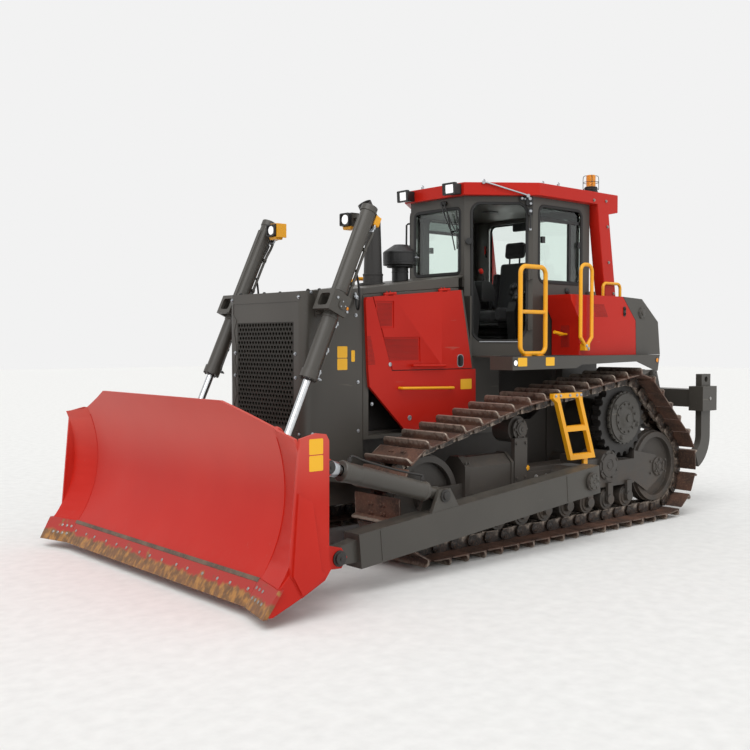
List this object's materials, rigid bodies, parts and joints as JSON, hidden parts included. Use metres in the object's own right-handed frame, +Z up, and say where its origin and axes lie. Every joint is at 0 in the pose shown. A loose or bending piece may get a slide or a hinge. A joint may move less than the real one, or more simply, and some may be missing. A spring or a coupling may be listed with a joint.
{
  "type": "crawler tractor",
  "caption": "Crawler tractor with raised drive sprockets, a curved push blade with angled wings, a cab and a rear three-shank ripper.",
  "frame": {"origin": "on the ground under the middle of the whole machine's length, on its plane of symmetry", "axes": "+X forward towards the blade, +Y to the machine's left, +Z up"},
  "size_m": [6.85, 3.684, 3.6153],
  "materials": {
    "red_paint": "gloss",
    "grey_paint": "satin",
    "yellow_paint": "gloss",
    "track_steel": "worn and rusty",
    "worn_steel": "worn and rusty",
    "chrome_rod": "polished",
    "window_glass": "tinted",
    "black_paint": "matt",
    "black_plastic": "matt",
    "seat_fabric": "woven",
    "amber_lens": "clear amber"
  },
  "bodies": {
    "chassis": {"main_frame": "grey_paint", "engine_block": "black_paint", "radiator": "black_paint", "radiator_guard": "grey_paint", "radiator_grille": "grey_paint", "hood": "grey_paint", "cowl": "grey_paint", "side_panels": "red_paint", "exhaust_stack": "black_paint", "air_precleaner": "black_plastic", "cab_shell": "grey_paint", "cab_glass": "window_glass", "rops_frame": "red_paint", "operator_seat": "seat_fabric", "control_console": "black_plastic", "fenders": "grey_paint", "fuel_tank": "red_paint", "hydraulic_tank": "red_paint", "handrails": "yellow_paint", "access_ladders": "yellow_paint", "final_drives": "grey_paint", "sprockets": "track_steel", "track_frames": "grey_paint", "idlers": "track_steel", "track_rollers": "track_steel", "track_left": "track_steel", "track_right": "track_steel", "work_lights": "black_plastic", "beacon": "amber_lens"},
    "push_arms": {"push_arms": "grey_paint"},
    "blade": {"blade": "red_paint", "cutting_edge": "worn_steel"},
    "tilt_barrel_left": {"tilt_barrel_left": "grey_paint"},
    "tilt_barrel_right": {"tilt_barrel_right": "grey_paint"},
    "tilt_rod_left": {"tilt_rod_left": "chrome_rod"},
    "tilt_rod_right": {"tilt_rod_right": "chrome_rod"},
    "lift_barrel_left": {"lift_barrel_left": "grey_paint"},
    "lift_barrel_right": {"lift_barrel_right": "grey_paint"},
    "lift_rod_left": {"lift_rod_left": "chrome_rod"},
    "lift_rod_right": {"lift_rod_right": "chrome_rod"},
    "ripper_arms": {"ripper_arms": "grey_paint"},
    "ripper_links": {"ripper_links": "grey_paint"},
    "ripper_beam": {"ripper_beam": "grey_paint", "ripper_shanks": "worn_steel"},
    "ripper_barrels": {"ripper_barrels": "grey_paint"},
    "ripper_rods": {"ripper_rods": "chrome_rod"},
    "engine_door_left": {"engine_door_left": "red_paint"},
    "engine_door_right": {"engine_door_right": "red_paint"},
    "cab_door": {"cab_door": "grey_paint", "cab_door_glass": "window_glass"}
  },
  "joints": [
    {"name": "blade_lift", "type": "hinge", "parent": "chassis", "child": "push_arms", "pos_m": [-0.476, 0, 0.59], "axis": [0, -1, 0], "range_deg": [-7, 15]},
    {"name": "blade_pitch", "type": "hinge", "parent": "push_arms", "child": "blade", "pos_m": [2.54688, 0, 0.309], "axis": [0, 1, 0], "range_deg": [-4, 4]},
    {"name": "lift_barrel_left_swing", "type": "hinge", "parent": "chassis", "child": "lift_barrel_left", "pos_m": [1.9612, 0.733, 2.19156], "axis": [0, 1, 0], "range_deg": [-12.05, 5.62]},
    {"name": "lift_rod_left_slide", "type": "slide", "parent": "lift_barrel_left", "child": "lift_rod_left", "axis": [0.4182, 0, -0.9084], "range_m": [-0.7602, 0.3548]},
    {"name": "tilt_barrel_left_swing", "type": "hinge", "parent": "push_arms", "child": "tilt_barrel_left", "pos_m": [1.44988, 1.425, 0.655], "axis": [0, 1, 0], "range_deg": [-0.88, 0.88]},
    {"name": "tilt_rod_left_slide", "type": "slide", "parent": "tilt_barrel_left", "child": "tilt_rod_left", "axis": [0.9636, 0, 0.2672], "range_m": [-0.0438, 0.0438]},
    {"name": "lift_barrel_right_swing", "type": "hinge", "parent": "chassis", "child": "lift_barrel_right", "pos_m": [1.9612, -0.733, 2.19156], "axis": [0, 1, 0], "range_deg": [-12.05, 5.62]},
    {"name": "lift_rod_right_slide", "type": "slide", "parent": "lift_barrel_right", "child": "lift_rod_right", "axis": [0.4182, 0, -0.9084], "range_m": [-0.7602, 0.3548]},
    {"name": "tilt_barrel_right_swing", "type": "hinge", "parent": "push_arms", "child": "tilt_barrel_right", "pos_m": [1.44988, -1.425, 0.655], "axis": [0, 1, 0], "range_deg": [-0.88, 0.88]},
    {"name": "tilt_rod_right_slide", "type": "slide", "parent": "tilt_barrel_right", "child": "tilt_rod_right", "axis": [0.9636, 0, 0.2672], "range_m": [-0.0438, 0.0438]},
    {"name": "ripper_lower", "type": "hinge", "parent": "chassis", "child": "ripper_arms", "pos_m": [-2.125, 0, 0.7], "axis": [0, -1, 0], "range_deg": [-3, 58]},
    {"name": "ripper_links_swing", "type": "hinge", "parent": "chassis", "child": "ripper_links", "pos_m": [-2.125, 0, 1.2], "axis": [0, -1, 0], "range_deg": [-3, 58.06]},
    {"name": "ripper_beam_swing", "type": "hinge", "parent": "ripper_arms", "child": "ripper_beam", "pos_m": [-3.03, 0, 1.01], "axis": [0, 1, 0], "range_deg": [-3, 58.06]},
    {"name": "ripper_barrels_swing", "type": "hinge", "parent": "chassis", "child": "ripper_barrels", "pos_m": [-2.125, 0, 1.4], "axis": [0, -1, 0], "range_deg": [-1.35, 26.2]},
    {"name": "ripper_rods_slide", "type": "slide", "parent": "ripper_barrels", "child": "ripper_rods", "axis": [-0.8335, 0, -0.5525], "range_m": [-0.0261, 0.5045]},
    {"name": "engine_door_left_hinge", "type": "hinge", "parent": "chassis", "child": "engine_door_left", "pos_m": [1.414, 0.588, 2.298], "axis": [0.9963, 0, -0.0858], "range_deg": [0, 75]},
    {"name": "engine_door_right_hinge", "type": "hinge", "parent": "chassis", "child": "engine_door_right", "pos_m": [1.414, -0.588, 2.298], "axis": [-0.9963, 0, 0.0858], "range_deg": [0, 75]},
    {"name": "cab_door_hinge", "type": "hinge", "parent": "chassis", "child": "cab_door", "pos_m": [-0.40943, -0.79062, 2.5], "axis": [0, 0, -1], "range_deg": [0, 65]}
  ],
  "couplings": [
    {"joint": "lift_barrel_left_swing", "follows": "blade_lift", "ratio": -0.8025},
    {"joint": "lift_rod_left_slide", "follows": "blade_lift", "m_per_rad": -2.9006},
    {"joint": "tilt_barrel_left_swing", "follows": "blade_pitch", "ratio": 0.2189},
    {"joint": "tilt_rod_left_slide", "follows": "blade_pitch", "m_per_rad": 0.6265},
    {"joint": "lift_barrel_right_swing", "follows": "blade_lift", "ratio": -0.8025},
    {"joint": "lift_rod_right_slide", "follows": "blade_lift", "m_per_rad": -2.9006},
    {"joint": "tilt_barrel_right_swing", "follows": "blade_pitch", "ratio": 0.2189},
    {"joint": "tilt_rod_right_slide", "follows": "blade_pitch", "m_per_rad": 0.6265},
    {"joint": "ripper_links_swing", "follows": "ripper_lower", "ratio": 1},
    {"joint": "ripper_beam_swing", "follows": "ripper_lower", "ratio": 1},
    {"joint": "ripper_barrels_swing", "follows": "ripper_lower", "ratio": 0.4512},
    {"joint": "ripper_rods_slide", "follows": "ripper_lower", "m_per_rad": 0.4978}
  ]
}
